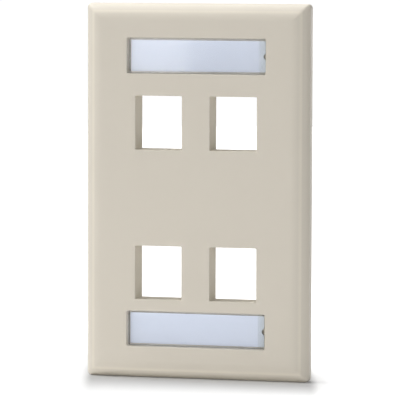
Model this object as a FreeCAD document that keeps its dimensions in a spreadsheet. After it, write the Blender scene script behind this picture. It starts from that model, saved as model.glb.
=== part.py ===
import FreeCAD, Part
import os

import Sketcher

# A single-gang keystone faceplate for four jacks, with two clear label covers.
# X is the plate's width and Z its height. The front looks along -Y, and the
# origin is the middle of the flat back rim, which lies in the plane Y = 0.

VECTOR = FreeCAD.Vector

# Driving dimensions in millimetres, and one angle in degrees.
SIZES = {
    # Outer form of the moulded plate.
    "plate_width": 69.85,
    "plate_height": 114.3,
    "plate_depth": 5.8,
    "edge_height": 2.7,
    "shoulder_run": 5.4,
    "corner_radius": 1.35,
    "side_wall": 2.0,
    "face_thickness": 2.0,
    "inner_radius": 2.4,
    "rim_radius": 0.25,
    # Label trays, sunk into the face in front of the wall screws.
    "screw_spacing": 83.34,
    "windows_drop": 0.45,
    "window_width": 43.4,
    "window_height": 10.85,
    "window_depth": 4.0,
    "window_corner": 0.5,
    "tray_wall": 2.2,
    # Keystone ports in two columns and two rows.
    "port_width": 14.6,
    "port_height": 16.4,
    "port_corner": 0.3,
    "column_spacing": 23.4,
    "row_spacing": 45.75,
    "rows_drop": 2.0,
    "collar_wall": 1.45,
    "collar_depth": 8.6,
    "latch_rise": 4.6,
    "catch_rise": 3.0,
    "catch_thickness": 1.6,
    "lead_in_width": 0.15,
    "lead_in_length": 0.8,
    # Stiffening ribs behind the face.
    "rib_thickness": 1.0,
    "rib_setback": 1.0,
    "rib_bite": 0.3,
    # Clear label covers.
    "cover_end_gap": 0.2,
    "cover_side_gap": 0.2,
    "cover_setback": 2.0,
    "cover_thickness": 1.0,
    "cover_floor_gap": 0.05,
    "cover_corner": 0.4,
    "cover_play": 0.12,
    "rail_width": 0.475,
    "end_bar": 0.36,
    "notch_radius": 1.0,
    "grip_line_inset": 1.85,
    "grip_line_width": 0.2,
    "grip_line_depth": 0.15,
    "lip_reach": 0.45,
    "lip_thickness": 0.3,
    "bead_height": 0.15,
    "bead_width": 1.2,
    "bead_length": 0.9,
    "bead_spacing": 30.0,
    # Paper labels, each held against its cover by the lips.
    "label_thickness": 0.2,
    "label_side_gap": 0.05,
    "label_lip_gap": 0.05,
    "label_end_gap": 0.08,
    # Wall screws.
    "shank_diameter": 3.5,
    "head_diameter": 7.0,
    "head_angle": 82.0,
    "head_crown": 0.6,
    "head_clearance": 0.1,
    "hole_clearance": 0.7,
    "screw_length": 25.4,
    "tip_chamfer": 0.5,
    "slot_width": 1.1,
    "slot_depth": 1.0,
}

# How far a cut runs past the surface that it opens.
OVERRUN = 1.0
# How closely a place on an edge is compared with the place looked for.
TOUCH = 1e-4

# Sketch numbering: the two axes, and the start, end and centre of a curve.
X_AXIS, Y_AXIS = range(-1, -3, -1)
START, END, CENTRE = range(1, 4)

LABELS = {
    "faceplate": "faceplate",
    "cover": "{}_label_cover",
    "label": "{}_paper_label",
    "screw": "{}_mounting_screw",
}


class Size:
    """A length that carries its number and the sheet formula that drives it."""

    def __init__(self, value, formula):
        self.value = value
        self.formula = formula

    @staticmethod
    def of(other):
        if isinstance(other, Size):
            return other
        return Size(float(other), str(other))

    def combined(self, other, sign, value):
        return Size(value, "({} {} {})".format(self.formula, sign, Size.of(other).formula))

    def __add__(self, other):
        return self.combined(other, "+", self.value + Size.of(other).value)

    def __sub__(self, other):
        return self.combined(other, "-", self.value - Size.of(other).value)

    def __mul__(self, other):
        return self.combined(other, "*", self.value * Size.of(other).value)

    def __truediv__(self, other):
        return self.combined(other, "/", self.value / Size.of(other).value)

    def __neg__(self):
        return Size(-self.value, "(-{})".format(self.formula))


def make_sheet(doc):
    """Write the driving dimensions into the sheet, one alias to a row."""
    sheet = doc.addObject("Spreadsheet::Sheet", "Sizes")
    for row, (alias, value) in enumerate(SIZES.items(), start=1):
        sheet.set("A{}".format(row), alias.replace("_", " "))
        sheet.set("B{}".format(row), str(value))
        sheet.setAlias("B{}".format(row), alias)
    doc.recompute()
    return sheet


def size(alias):
    """The driving dimension of that name, bound to its cell."""
    return Size(SIZES[alias], "Sizes.{}".format(alias))


def bind(target, name, length, unit=""):
    """Drive one property of a feature or sketch from the sheet."""
    formula = length.formula
    if unit:
        formula = "{} * 1 {}".format(formula, unit)
    target.setExpression(name, formula)


# Sketches

def new_sketch(body, role, name, offset=None):
    """A sketch on one of the body's own planes, moved along its normal."""
    sketch = body.newObject("Sketcher::SketchObject", name)
    plane = next(item for item in body.Origin.OriginFeatures if item.Role == role)
    sketch.AttachmentSupport = [(plane, "")]
    sketch.MapMode = "FlatFace"
    if offset is not None:
        bind(sketch, "AttachmentOffset.Base.z", offset, "mm")
    return sketch


def fix(sketch, curve, point, along, length):
    """Hold one coordinate of a point at a length from the sketch's origin."""
    if abs(length.value) < TOUCH:
        axis = Y_AXIS if along == "X" else X_AXIS
        sketch.addConstraint(Sketcher.Constraint("PointOnObject", curve, point, axis))
        return
    number = sketch.addConstraint(
        Sketcher.Constraint("Distance" + along, curve, point, length.value))
    bind(sketch, "Constraints[{}]".format(number), length)


def add_line(sketch, first, last):
    """A straight line between two points, each a pair of sizes."""
    ends = [VECTOR(point[0].value, point[1].value, 0) for point in (first, last)]
    return sketch.addGeometry(Part.LineSegment(ends[0], ends[1]), False)


def join(sketch, curve, point, other, other_point):
    """Make two ends meet."""
    sketch.addConstraint(Sketcher.Constraint("Coincident", curve, point, other, other_point))


def add_rectangle(sketch, left, right, bottom, top):
    """An upright rectangle held at its four sides."""
    corners = [(left, bottom), (right, bottom), (right, top), (left, top)]
    sides = [add_line(sketch, corners[n], corners[(n + 1) % 4]) for n in range(4)]
    for number, side in enumerate(sides):
        join(sketch, side, END, sides[(number + 1) % 4], START)
        level = "Horizontal" if number % 2 == 0 else "Vertical"
        sketch.addConstraint(Sketcher.Constraint(level, side))
    fix(sketch, sides[0], START, "X", left)
    fix(sketch, sides[0], START, "Y", bottom)
    fix(sketch, sides[2], START, "X", right)
    fix(sketch, sides[2], START, "Y", top)


def add_centred_rectangle(sketch, across, up, width, height):
    """An upright rectangle about a middle point."""
    half_width = width / 2
    half_height = height / 2
    add_rectangle(sketch, across - half_width, across + half_width,
                  up - half_height, up + half_height)


def add_polygon(sketch, points):
    """A closed outline of straight lines with every corner held."""
    count = len(points)
    sides = [add_line(sketch, points[n], points[(n + 1) % count]) for n in range(count)]
    for number, side in enumerate(sides):
        join(sketch, side, END, sides[(number + 1) % count], START)
        fix(sketch, side, START, "X", points[number][0])
        fix(sketch, side, START, "Y", points[number][1])


def add_circle(sketch, across, up, radius):
    """A circle about a held middle point."""
    middle = VECTOR(across.value, up.value, 0)
    circle = sketch.addGeometry(Part.Circle(middle, VECTOR(0, 0, 1), radius.value), False)
    fix(sketch, circle, CENTRE, "X", across)
    fix(sketch, circle, CENTRE, "Y", up)
    number = sketch.addConstraint(Sketcher.Constraint("Radius", circle, radius.value))
    bind(sketch, "Constraints[{}]".format(number), radius)


def shoulder_arc(middle, first, last):
    """The arc of a shoulder, counter-clockwise from first to last."""
    circle = Part.Circle(middle, VECTOR(0, 0, 1), (first - middle).Length)
    start, end = circle.parameter(first), circle.parameter(last)
    return Part.ArcOfCircle(circle, start, end)


# Features

def add_pad(body, sketch, name, length, reverse=False, midplane=False):
    """Raise a sketch by a length."""
    pad = body.newObject("PartDesign::Pad", name)
    pad.Profile = sketch
    pad.Reversed = reverse
    pad.SideType = "Symmetric" if midplane else "One side"
    bind(pad, "Length", length)
    body.Document.recompute()
    return pad


def add_pocket(body, sketch, name, length=None, reverse=False, both=False):
    """Cut a sketch by a length, or right through where none is given."""
    before = body.Shape.Volume
    pocket = body.newObject("PartDesign::Pocket", name)
    pocket.Profile = sketch
    pocket.Reversed = reverse
    if length is None:
        pocket.Type = "ThroughAll"
    else:
        bind(pocket, "Length", length)
    if both:
        pocket.SideType = "Symmetric"
    body.Document.recompute()
    if body.Shape.Volume > before - TOUCH:
        raise RuntimeError("{} cuts nothing".format(name))
    return pocket


def edge_names(shape, wanted):
    """The names of the edges that a test picks out."""
    return ["Edge{}".format(n) for n, edge in enumerate(shape.Edges, start=1) if wanted(edge)]


def add_fillet(body, name, radius, wanted):
    """Round the edges that a test picks out."""
    base = body.Tip
    edges = edge_names(base.Shape, wanted)
    if not edges:
        raise RuntimeError("{} finds no edge".format(name))
    fillet = body.newObject("PartDesign::Fillet", name)
    fillet.Base = (base, edges)
    bind(fillet, "Radius", radius)
    body.Document.recompute()
    return fillet


def reach(low, high):
    """The larger distance of a stretch's two ends from zero."""
    return max(abs(low), abs(high))


def inside(box, across, up):
    """Whether an edge's box keeps within a half width and a half height."""
    return reach(box.XMin, box.XMax) < across + TOUCH and reach(box.ZMin, box.ZMax) < up + TOUCH


def at_level(box, level):
    """Whether an edge lies in the plane at one Y."""
    return abs(box.YMin - level) < TOUCH and abs(box.YMax - level) < TOUCH


def along_depth(edge):
    """Whether an edge runs straight along Y."""
    box = edge.BoundBox
    return box.XLength < TOUCH and box.ZLength < TOUCH and box.YLength > TOUCH


# Faceplate

def shoulder_radius():
    """The radius of the arc that runs from the side wall into the front face."""
    run = SIZES["shoulder_run"]
    drop = SIZES["plate_depth"] - SIZES["edge_height"]
    return (run * run + drop * drop) / (2 * drop)


def sketch_plate_section(sketch):
    """The section across the width: a flat back, low sides and rounded shoulders."""
    half, zero = size("plate_width") / 2, Size.of(0)
    edge, front = -size("edge_height"), -size("plate_depth")
    turn = half - size("shoulder_run")
    centre_level = front.value + shoulder_radius()
    back = add_line(sketch, (-half, zero), (half, zero))
    right = add_line(sketch, (half, zero), (half, edge))
    face = add_line(sketch, (turn, front), (-turn, front))
    left = add_line(sketch, (-half, edge), (-half, zero))
    right_arc = sketch.addGeometry(shoulder_arc(
        VECTOR(turn.value, centre_level, 0),
        VECTOR(turn.value, front.value, 0),
        VECTOR(half.value, edge.value, 0)), False)
    left_arc = sketch.addGeometry(shoulder_arc(
        VECTOR(-turn.value, centre_level, 0),
        VECTOR(-half.value, edge.value, 0),
        VECTOR(-turn.value, front.value, 0)), False)
    join(sketch, back, END, right, START)
    join(sketch, right, END, right_arc, END)
    join(sketch, right_arc, START, face, START)
    join(sketch, face, END, left_arc, END)
    join(sketch, left_arc, START, left, START)
    join(sketch, left, END, back, START)
    for point, place in ((START, -half), (END, half)):
        fix(sketch, back, point, "X", place)
        fix(sketch, back, point, "Y", zero)
    for side, point in ((right, END), (left, START)):
        sketch.addConstraint(Sketcher.Constraint("Vertical", side))
        fix(sketch, side, point, "Y", edge)
    for arc, arc_point, point, place in ((right_arc, START, START, turn), (left_arc, END, END, -turn)):
        fix(sketch, face, point, "X", place)
        fix(sketch, face, point, "Y", front)
        sketch.addConstraint(Sketcher.Constraint("Vertical", arc, CENTRE, arc, arc_point))


def sketch_end_shoulder(sketch, side):
    """What is cut from one end so that it gets the same shoulder as the sides."""
    half, past = size("plate_height") / 2 * side, Size.of(OVERRUN)
    edge, front = -size("edge_height"), -size("plate_depth")
    turn = half - size("shoulder_run") * side
    outside = half + past * side
    middle = VECTOR(front.value + shoulder_radius(), turn.value, 0)
    crest = VECTOR(edge.value, half.value, 0)
    foot = VECTOR(front.value, turn.value, 0)
    first, last = (crest, foot) if side > 0 else (foot, crest)
    arc = sketch.addGeometry(shoulder_arc(middle, first, last), False)
    crest_point, foot_point = (START, END) if side > 0 else (END, START)
    out = add_line(sketch, (front, turn), (front - past, turn))
    up = add_line(sketch, (front - past, turn), (front - past, outside))
    over = add_line(sketch, (front - past, outside), (edge, outside))
    down = add_line(sketch, (edge, outside), (edge, half))
    join(sketch, arc, foot_point, out, START)
    join(sketch, out, END, up, START)
    join(sketch, up, END, over, START)
    join(sketch, over, END, down, START)
    join(sketch, down, END, arc, crest_point)
    sketch.addConstraint(Sketcher.Constraint("Horizontal", arc, CENTRE, arc, foot_point))
    for line, across, high in ((out, front, turn), (up, front - past, turn),
                               (over, front - past, outside), (down, edge, outside)):
        fix(sketch, line, START, "X", across)
        fix(sketch, line, START, "Y", high)
    fix(sketch, down, END, "X", edge)
    fix(sketch, down, END, "Y", half)


def add_outer_form(body):
    """The solid outer form: two crossed sections with rounded corners."""
    section = new_sketch(body, "XY_Plane", "PlateSection")
    sketch_plate_section(section)
    add_pad(body, section, "PlateForm", size("plate_height"), midplane=True)
    for side, name in ((1, "Top"), (-1, "Bottom")):
        ends = new_sketch(body, "YZ_Plane", name + "ShoulderWaste")
        sketch_end_shoulder(ends, side)
        add_pocket(body, ends, name + "Shoulder", both=True)
    turn_across = SIZES["plate_width"] / 2 - SIZES["shoulder_run"]
    turn_up = SIZES["plate_height"] / 2 - SIZES["shoulder_run"]

    def at_corner(edge):
        middle = edge.BoundBox.Center
        return abs(middle.x) > turn_across and abs(middle.z) > turn_up

    add_fillet(body, "CornerRounding", size("corner_radius"), at_corner)


def add_hollow(body):
    """The hollow behind the face, with rounded inner edges."""
    width = size("plate_width") - size("side_wall") * 2
    height = size("plate_height") - size("side_wall") * 2
    depth = size("plate_depth") - size("face_thickness")
    outline = new_sketch(body, "XZ_Plane", "HollowOutline")
    add_centred_rectangle(outline, Size.of(0), Size.of(0), width, height)
    add_pocket(body, outline, "Hollow", depth, reverse=True)

    def on_hollow(edge):
        box = edge.BoundBox
        low_enough = -depth.value - TOUCH < box.YMin < -TOUCH
        return low_enough and inside(box, width.value / 2, height.value / 2)

    add_fillet(body, "HollowRounding", size("inner_radius"), on_hollow)


def screw_centres():
    """The height of each wall screw."""
    return {"top": size("screw_spacing") / 2, "bottom": -size("screw_spacing") / 2}


def window_centres():
    """The height of each label window, a little below its screw's."""
    return {end: up - size("windows_drop") for end, up in screw_centres().items()}


def port_centres():
    """The middle of each keystone port."""
    across = size("column_spacing") / 2
    up = size("row_spacing") / 2
    drop = size("rows_drop")
    return [(side, row) for row in (up - drop, -up - drop) for side in (-across, across)]


def add_backing(body):
    """Trays, port collars and ribs, raised on the back of the face."""
    bite = size("face_thickness") / 2
    into_face = size("plate_depth") - bite
    wall, border = size("tray_wall"), size("collar_wall")
    trays = new_sketch(body, "XZ_Plane", "TrayOutlines")
    for up in window_centres().values():
        add_centred_rectangle(trays, Size.of(0), up, size("window_width") + wall * 2,
                              size("window_height") + wall * 2)
    add_pad(body, trays, "Trays", into_face)
    behind = size("collar_depth") - size("plate_depth")
    collars = new_sketch(body, "XZ_Plane", "CollarOutlines", -behind)
    half_width = size("port_width") / 2 + border
    half_height = size("port_height") / 2 + border
    for across, up in port_centres():
        add_rectangle(collars, across - half_width, across + half_width,
                      up - half_height, up + half_height + size("latch_rise"))
    add_pad(body, collars, "Collars", size("collar_depth") - bite)
    add_ribs(body)


def add_ribs(body):
    """An upright rib between the columns and cross ribs out to the side walls."""
    half, bite = size("rib_thickness") / 2, size("rib_bite")
    reach_up = bite + size("window_height") / 2
    tray_above = window_centres()["top"] - reach_up
    tray_below = window_centres()["bottom"] + reach_up
    side = size("plate_width") / 2 - size("side_wall") + bite
    collar_side = size("column_spacing") / 2 + size("port_width") / 2 + bite
    upright = new_sketch(body, "XZ_Plane", "UprightRibOutline", size("rib_setback"))
    add_rectangle(upright, -half, half, tray_below, tray_above)
    length = size("plate_depth") - size("face_thickness") + bite - size("rib_setback")
    add_pad(body, upright, "UprightRib", length)
    cross = new_sketch(body, "XZ_Plane", "CrossRibOutlines", size("rib_setback"))
    for up in (size("row_spacing") / 2 - size("rows_drop"),
               -size("row_spacing") / 2 - size("rows_drop")):
        add_rectangle(cross, collar_side, side, up - half, up + half)
        add_rectangle(cross, -side, -collar_side, up - half, up + half)
    add_pad(body, cross, "CrossRibs", length)


def add_ports(body):
    """The port openings, the space for each jack's latch, and its catch."""
    behind = size("collar_depth") - size("plate_depth")
    half_width, half_height = size("port_width") / 2, size("port_height") / 2
    openings = new_sketch(body, "XZ_Plane", "PortOutlines")
    for across, up in port_centres():
        add_centred_rectangle(openings, across, up, size("port_width"), size("port_height"))
    add_pocket(body, openings, "Ports", both=True)
    spaces = new_sketch(body, "XZ_Plane", "LatchSpaceOutlines", -behind)
    for across, up in port_centres():
        add_rectangle(spaces, across - half_width, across + half_width,
                      up, up + half_height + size("latch_rise"))
    add_pocket(body, spaces, "LatchSpaces", size("collar_depth") - size("face_thickness"), reverse=True)
    add_lead_ins(body, behind.value)
    catches = new_sketch(body, "XZ_Plane", "CatchOutlines", -behind)
    border = size("collar_wall")
    for across, up in port_centres():
        top = up + half_height
        add_rectangle(catches, across - half_width - border, across + half_width + border,
                      top + size("catch_rise"), top + size("latch_rise") + border)
    add_pad(body, catches, "Catches", size("catch_thickness"))


def add_lead_ins(body, rear):
    """The taper that guides a jack in, along each collar's two side walls."""
    sides = [across.value + sign * SIZES["port_width"] / 2
             for across, _ in port_centres() for sign in (-1, 1)]

    def on_side(edge):
        box = edge.BoundBox
        if box.XLength > TOUCH or box.ZLength < TOUCH or not at_level(box, rear):
            return False
        return any(abs(box.XMin - side) < TOUCH for side in sides)

    base = body.Tip
    chamfer = body.newObject("PartDesign::Chamfer", "LeadIns")
    chamfer.Base = (base, edge_names(base.Shape, on_side))
    chamfer.ChamferType = "Two distances"
    bind(chamfer, "Size", size("lead_in_width"))
    bind(chamfer, "Size2", size("lead_in_length"))
    body.Document.recompute()
    removed = base.Shape.Volume - chamfer.Shape.Volume
    print("lead-ins remove {:.2f} cubic millimetres".format(removed))


def add_windows(body):
    """The label windows, with a countersunk hole for the wall screw in each."""
    front = size("plate_depth")
    outlines = new_sketch(body, "XZ_Plane", "WindowOutlines", front)
    for up in window_centres().values():
        add_centred_rectangle(outlines, Size.of(0), up, size("window_width"), size("window_height"))
    add_pocket(body, outlines, "LabelWindows", size("window_depth"))
    floor = size("plate_depth") - size("window_depth")
    centres = new_sketch(body, "XZ_Plane", "ScrewHoleCentres", floor)
    hole_diameter = size("shank_diameter") + size("hole_clearance")
    for up in screw_centres().values():
        add_circle(centres, Size.of(0), up, hole_diameter / 2)
    holes = body.newObject("PartDesign::Hole", "ScrewHoles")
    holes.Profile = centres
    body.Document.recompute()
    holes.Threaded = False
    holes.DepthType = "ThroughAll"
    holes.HoleCutType = "Countersink"
    holes.HoleCutCustomValues = True
    bind(holes, "Diameter", hole_diameter)
    bind(holes, "HoleCutDiameter", size("head_diameter") + size("head_clearance"))
    bind(holes, "HoleCutCountersinkAngle", size("head_angle"), "deg")
    body.Document.recompute()


def round_openings(body):
    """Small radii: the corners of windows and ports, then their front rims."""
    half_port = SIZES["port_width"] / 2
    bottom, top = -SIZES["port_height"] / 2, SIZES["port_height"] / 2
    ports = [(across.value, up.value) for across, up in port_centres()]
    windows = [up.value for up in window_centres().values()]

    def at_port_corner(edge):
        if not along_depth(edge):
            return False
        at = edge.BoundBox.Center
        return any(abs(abs(at.x - across) - half_port) < TOUCH
                   and min(abs(at.z - up - bottom), abs(at.z - up - top)) < TOUCH
                   for across, up in ports)

    def at_window_corner(edge):
        at = edge.BoundBox.Center
        beside = abs(abs(at.x) - SIZES["window_width"] / 2) < TOUCH
        return along_depth(edge) and beside and any(
            abs(abs(at.z - up) - SIZES["window_height"] / 2) < TOUCH for up in windows)

    def on_rim(edge):
        box = edge.BoundBox
        across = SIZES["plate_width"] / 2 - SIZES["shoulder_run"] - OVERRUN
        up = SIZES["plate_height"] / 2 - SIZES["shoulder_run"] - OVERRUN
        return at_level(box, -SIZES["plate_depth"]) and inside(box, across, up)

    add_fillet(body, "PortCorners", size("port_corner"), at_port_corner)
    add_fillet(body, "WindowCorners", size("window_corner"), at_window_corner)
    add_fillet(body, "OpeningRims", size("rim_radius"), on_rim)


def make_faceplate(doc):
    """The whole moulding, in the order that gives each feature its base."""
    body = doc.addObject("PartDesign::Body", "Faceplate")
    body.Label = LABELS["faceplate"]
    add_outer_form(body)
    add_hollow(body)
    add_backing(body)
    add_ports(body)
    add_windows(body)
    round_openings(body)
    return body


# Label covers

def cover_width():
    """The outer width of a label cover."""
    return size("window_width") - size("cover_end_gap") * 2


def cover_height():
    """The outer height of a label cover."""
    return size("window_height") - size("cover_side_gap") * 2


def make_cover(doc, end):
    """A clear tray that faces forward, open at the back for its label."""
    body = doc.addObject("PartDesign::Body", end.capitalize() + "LabelCover")
    body.Label = LABELS["cover"].format(end)
    half_width, half_height = cover_width() / 2, cover_height() / 2
    front = size("plate_depth") - size("cover_setback")
    back = size("plate_depth") - size("window_depth") + size("cover_floor_gap")
    ceiling = front - size("cover_thickness")
    rail = size("rail_width")
    outline = new_sketch(body, "XZ_Plane", "CoverOutline", back)
    add_centred_rectangle(outline, Size.of(0), Size.of(0), cover_width(), cover_height())
    add_pad(body, outline, "CoverForm", front - back)
    space = new_sketch(body, "XZ_Plane", "LabelSpaceOutline", back)
    add_rectangle(space, size("end_bar") - half_width, half_width - size("end_bar"),
                  rail - half_height, half_height - rail)
    add_pocket(body, space, "LabelSpace", ceiling - back, reverse=True)
    lip_back = ceiling - size("label_thickness") - size("label_lip_gap") - size("lip_thickness")
    lips = new_sketch(body, "XZ_Plane", "LipOutlines", lip_back)
    inner = half_height - rail
    for low, high in ((inner - size("lip_reach"), half_height - rail / 2),
                      (rail / 2 - half_height, size("lip_reach") - inner)):
        add_rectangle(lips, size("end_bar") / 2 - half_width, half_width - size("end_bar") / 2,
                      low, high)
    add_pad(body, lips, "Lips", size("lip_thickness"))
    add_cover_beads(body, back, half_height)
    notch = new_sketch(body, "XZ_Plane", "NotchOutline", front)
    add_circle(notch, half_width, Size.of(0), size("notch_radius"))
    add_pocket(body, notch, "PryNotch")
    grip = new_sketch(body, "XZ_Plane", "GripLineOutline", front)
    add_centred_rectangle(grip, half_width - size("grip_line_inset"), Size.of(0),
                          size("grip_line_width"), cover_height() + OVERRUN)
    add_pocket(body, grip, "GripLine", size("grip_line_depth"))

    def at_end_corner(edge):
        at = edge.BoundBox.Center
        return (along_depth(edge) and abs(abs(at.x) - half_width.value) < TOUCH
                and abs(abs(at.z) - half_height.value) < TOUCH)

    add_fillet(body, "CoverCorners", size("cover_corner"), at_end_corner)
    place(body, cover_shift(end), window_centres()[end])
    return body


def add_cover_beads(body, back, half_height):
    """Low friction beads on the outside of the two rails, behind the clear face."""
    beads = new_sketch(body, "XZ_Plane", "BeadOutlines", back)
    half = size("bead_width") / 2
    for middle in (-size("bead_spacing") / 2, size("bead_spacing") / 2):
        for sign in (-1, 1):
            foot = (half_height - size("rail_width") / 2) * sign
            crest = (half_height + size("bead_height")) * sign
            add_polygon(beads, [(middle - half, foot), (middle + half, foot),
                                (middle + half / 2, crest), (middle - half / 2, crest)])
    add_pad(body, beads, "Beads", size("bead_length"))


def place(body, across, up):
    """Set a piece at its place across the width and up the height."""
    bind(body, "Placement.Base.x", across, "mm")
    bind(body, "Placement.Base.z", up, "mm")


def cover_shift(end):
    """How far a cover and its label lie to one side within their play."""
    return size("cover_play") if end == "top" else -size("cover_play")


# Paper labels

def make_label(doc, end):
    """A blank paper strip under the clear face of its cover."""
    body = doc.addObject("PartDesign::Body", end.capitalize() + "PaperLabel")
    body.Label = LABELS["label"].format(end)
    half_width = cover_width() / 2
    half_height = cover_height() / 2 - size("rail_width") - size("label_side_gap")
    end_space = size("end_bar") + size("label_end_gap")
    back = (size("plate_depth") - size("cover_setback") - size("cover_thickness")
            - size("label_thickness"))
    outline = new_sketch(body, "XZ_Plane", "LabelOutline", back)
    add_rectangle(outline, end_space - half_width, half_width - end_space,
                  -half_height, half_height)
    add_pad(body, outline, "LabelSheet", size("label_thickness"))
    place(body, cover_shift(end), window_centres()[end])
    return body


# Wall screws

def sketch_screw_profile(sketch):
    """Half of the screw's section: crown, countersunk head, shank and tip."""
    zero, radius = Size.of(0), size("shank_diameter") / 2
    rim = size("head_diameter") / 2
    level = size("window_depth") - size("plate_depth")
    crest = level - size("head_crown")
    tip = level + size("screw_length")
    chamfer = size("tip_chamfer")
    crown = size("head_crown").value
    ball = (rim.value * rim.value + crown * crown) / (2 * crown)
    dome = sketch.addGeometry(shoulder_arc(
        VECTOR(0, crest.value + ball, 0), VECTOR(0, crest.value, 0),
        VECTOR(rim.value, level.value, 0)), False)
    neck = level + (rim - radius)
    cone = add_line(sketch, (rim, level), (radius, neck))
    shank = add_line(sketch, (radius, neck), (radius, tip - chamfer))
    slope = add_line(sketch, (radius, tip - chamfer), (radius - chamfer, tip))
    end = add_line(sketch, (radius - chamfer, tip), (zero, tip))
    axis = add_line(sketch, (zero, tip), (zero, crest))
    join(sketch, dome, END, cone, START)
    for first, second in ((cone, shank), (shank, slope), (slope, end), (end, axis)):
        join(sketch, first, END, second, START)
    join(sketch, axis, END, dome, START)
    sketch.addConstraint(Sketcher.Constraint("PointOnObject", dome, CENTRE, Y_AXIS))
    fix(sketch, cone, START, "X", rim)
    fix(sketch, cone, START, "Y", level)
    fix(sketch, shank, START, "X", radius)
    sketch.addConstraint(Sketcher.Constraint("Vertical", shank))
    fix(sketch, shank, END, "Y", tip - chamfer)
    fix(sketch, slope, END, "X", radius - chamfer)
    fix(sketch, slope, END, "Y", tip)
    fix(sketch, axis, START, "X", zero)
    fix(sketch, axis, START, "Y", tip)
    fix(sketch, axis, END, "X", zero)
    fix(sketch, axis, END, "Y", crest)
    number = sketch.addConstraint(Sketcher.Constraint(
        "Angle", cone, END, shank, START, FreeCAD.Units.parseQuantity("139 deg")))
    bind(sketch, "Constraints[{}]".format(number), Size.of(180) - size("head_angle") / 2, "deg")


def make_screw(doc, end):
    """An oval-head wall screw with a straight slot."""
    body = doc.addObject("PartDesign::Body", end.capitalize() + "MountingScrew")
    body.Label = LABELS["screw"].format(end)
    profile = new_sketch(body, "XY_Plane", "ScrewProfile")
    sketch_screw_profile(profile)
    turned = body.newObject("PartDesign::Revolution", "TurnedForm")
    turned.Profile = profile
    turned.ReferenceAxis = (profile, ["V_Axis"])
    turned.Angle = 360
    doc.recompute()
    top = size("plate_depth") - size("window_depth") + size("head_crown")
    slot = new_sketch(body, "XZ_Plane", "SlotOutline", top)
    add_centred_rectangle(slot, Size.of(0), Size.of(0), size("head_diameter") + OVERRUN,
                          size("slot_width"))
    add_pocket(body, slot, "DriverSlot", size("slot_depth"))
    place(body, Size.of(0), screw_centres()[end])
    return body


def check_and_write(doc, bodies):
    """Test every object, then write each piece to its own file."""
    for item in doc.Objects:
        if "Invalid" in item.State or "Error" in item.State:
            raise RuntimeError("{} is {}".format(item.Name, item.State))
    for body in bodies:
        if body.Shape.isNull() or not body.Shape.isValid() or len(body.Shape.Solids) != 1:
            raise RuntimeError("{} is not one sound solid".format(body.Label))
    os.makedirs("parts", exist_ok=True)
    for body in bodies:
        body.Shape.exportStep("parts/{}.step".format(body.Label))
        box = body.Shape.BoundBox
        print("{}: {:.1f} cubic mm, {:.2f} x {:.2f} x {:.2f}".format(
            body.Label, body.Shape.Volume, box.XLength, box.YLength, box.ZLength))


def main():
    doc = FreeCAD.newDocument("KeystoneFaceplate")
    make_sheet(doc)
    bodies = [make_faceplate(doc)]
    for end in window_centres():
        bodies += [make_cover(doc, end), make_label(doc, end), make_screw(doc, end)]
    doc.recompute()
    check_and_write(doc, bodies)


main()
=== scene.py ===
"""The looks of a keystone faceplate: its moulding, label covers, labels and wall screws."""

import logging
import math
from dataclasses import dataclass, field
from enum import Enum
from typing import Callable

import bmesh
import bpy
from mathutils import Matrix, Vector


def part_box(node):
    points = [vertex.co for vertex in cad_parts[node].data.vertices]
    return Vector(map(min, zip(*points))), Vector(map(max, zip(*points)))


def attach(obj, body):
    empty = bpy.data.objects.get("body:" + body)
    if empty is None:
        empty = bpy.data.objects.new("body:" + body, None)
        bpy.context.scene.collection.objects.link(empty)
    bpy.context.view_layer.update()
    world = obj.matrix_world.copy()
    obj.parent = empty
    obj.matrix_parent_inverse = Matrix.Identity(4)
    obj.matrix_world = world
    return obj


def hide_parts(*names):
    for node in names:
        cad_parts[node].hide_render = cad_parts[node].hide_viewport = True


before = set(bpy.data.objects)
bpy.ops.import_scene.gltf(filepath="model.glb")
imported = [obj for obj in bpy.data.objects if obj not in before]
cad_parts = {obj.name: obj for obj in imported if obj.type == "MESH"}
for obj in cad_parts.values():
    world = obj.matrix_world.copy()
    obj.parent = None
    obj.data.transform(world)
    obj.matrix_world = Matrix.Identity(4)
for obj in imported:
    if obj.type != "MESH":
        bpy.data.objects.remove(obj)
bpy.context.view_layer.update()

LOG = logging.getLogger("faceplate")
MM = 0.001
WELD_DISTANCE = 0.001 * MM
FLAT_FACE_WEIGHT = 60
# The sockets of a Mix node that is set to colours.
MIX_SHARE, MIX_FIRST, MIX_SECOND, MIX_RESULT = 0, 6, 7, 2

Colour = tuple[float, float, float, float]


class End(Enum):
    """The two ends of the plate, each with its own label window and wall screw."""

    TOP = "top"
    BOTTOM = "bottom"


def srgb(red: float, green: float, blue: float) -> Colour:
    """Turn a colour as seen, each channel from 0 to 255, into linear light.

    Args:
        red: Red as seen.
        green: Green as seen.
        blue: Blue as seen.

    Returns:
        The linear colour with full alpha.
    """

    def linear(value: float) -> float:
        """One channel, by the sRGB curve."""
        share = value / 255
        return share / 12.92 if share <= 0.04045 else ((share + 0.055) / 1.055) ** 2.4

    return linear(red), linear(green), linear(blue), 1.0


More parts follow.
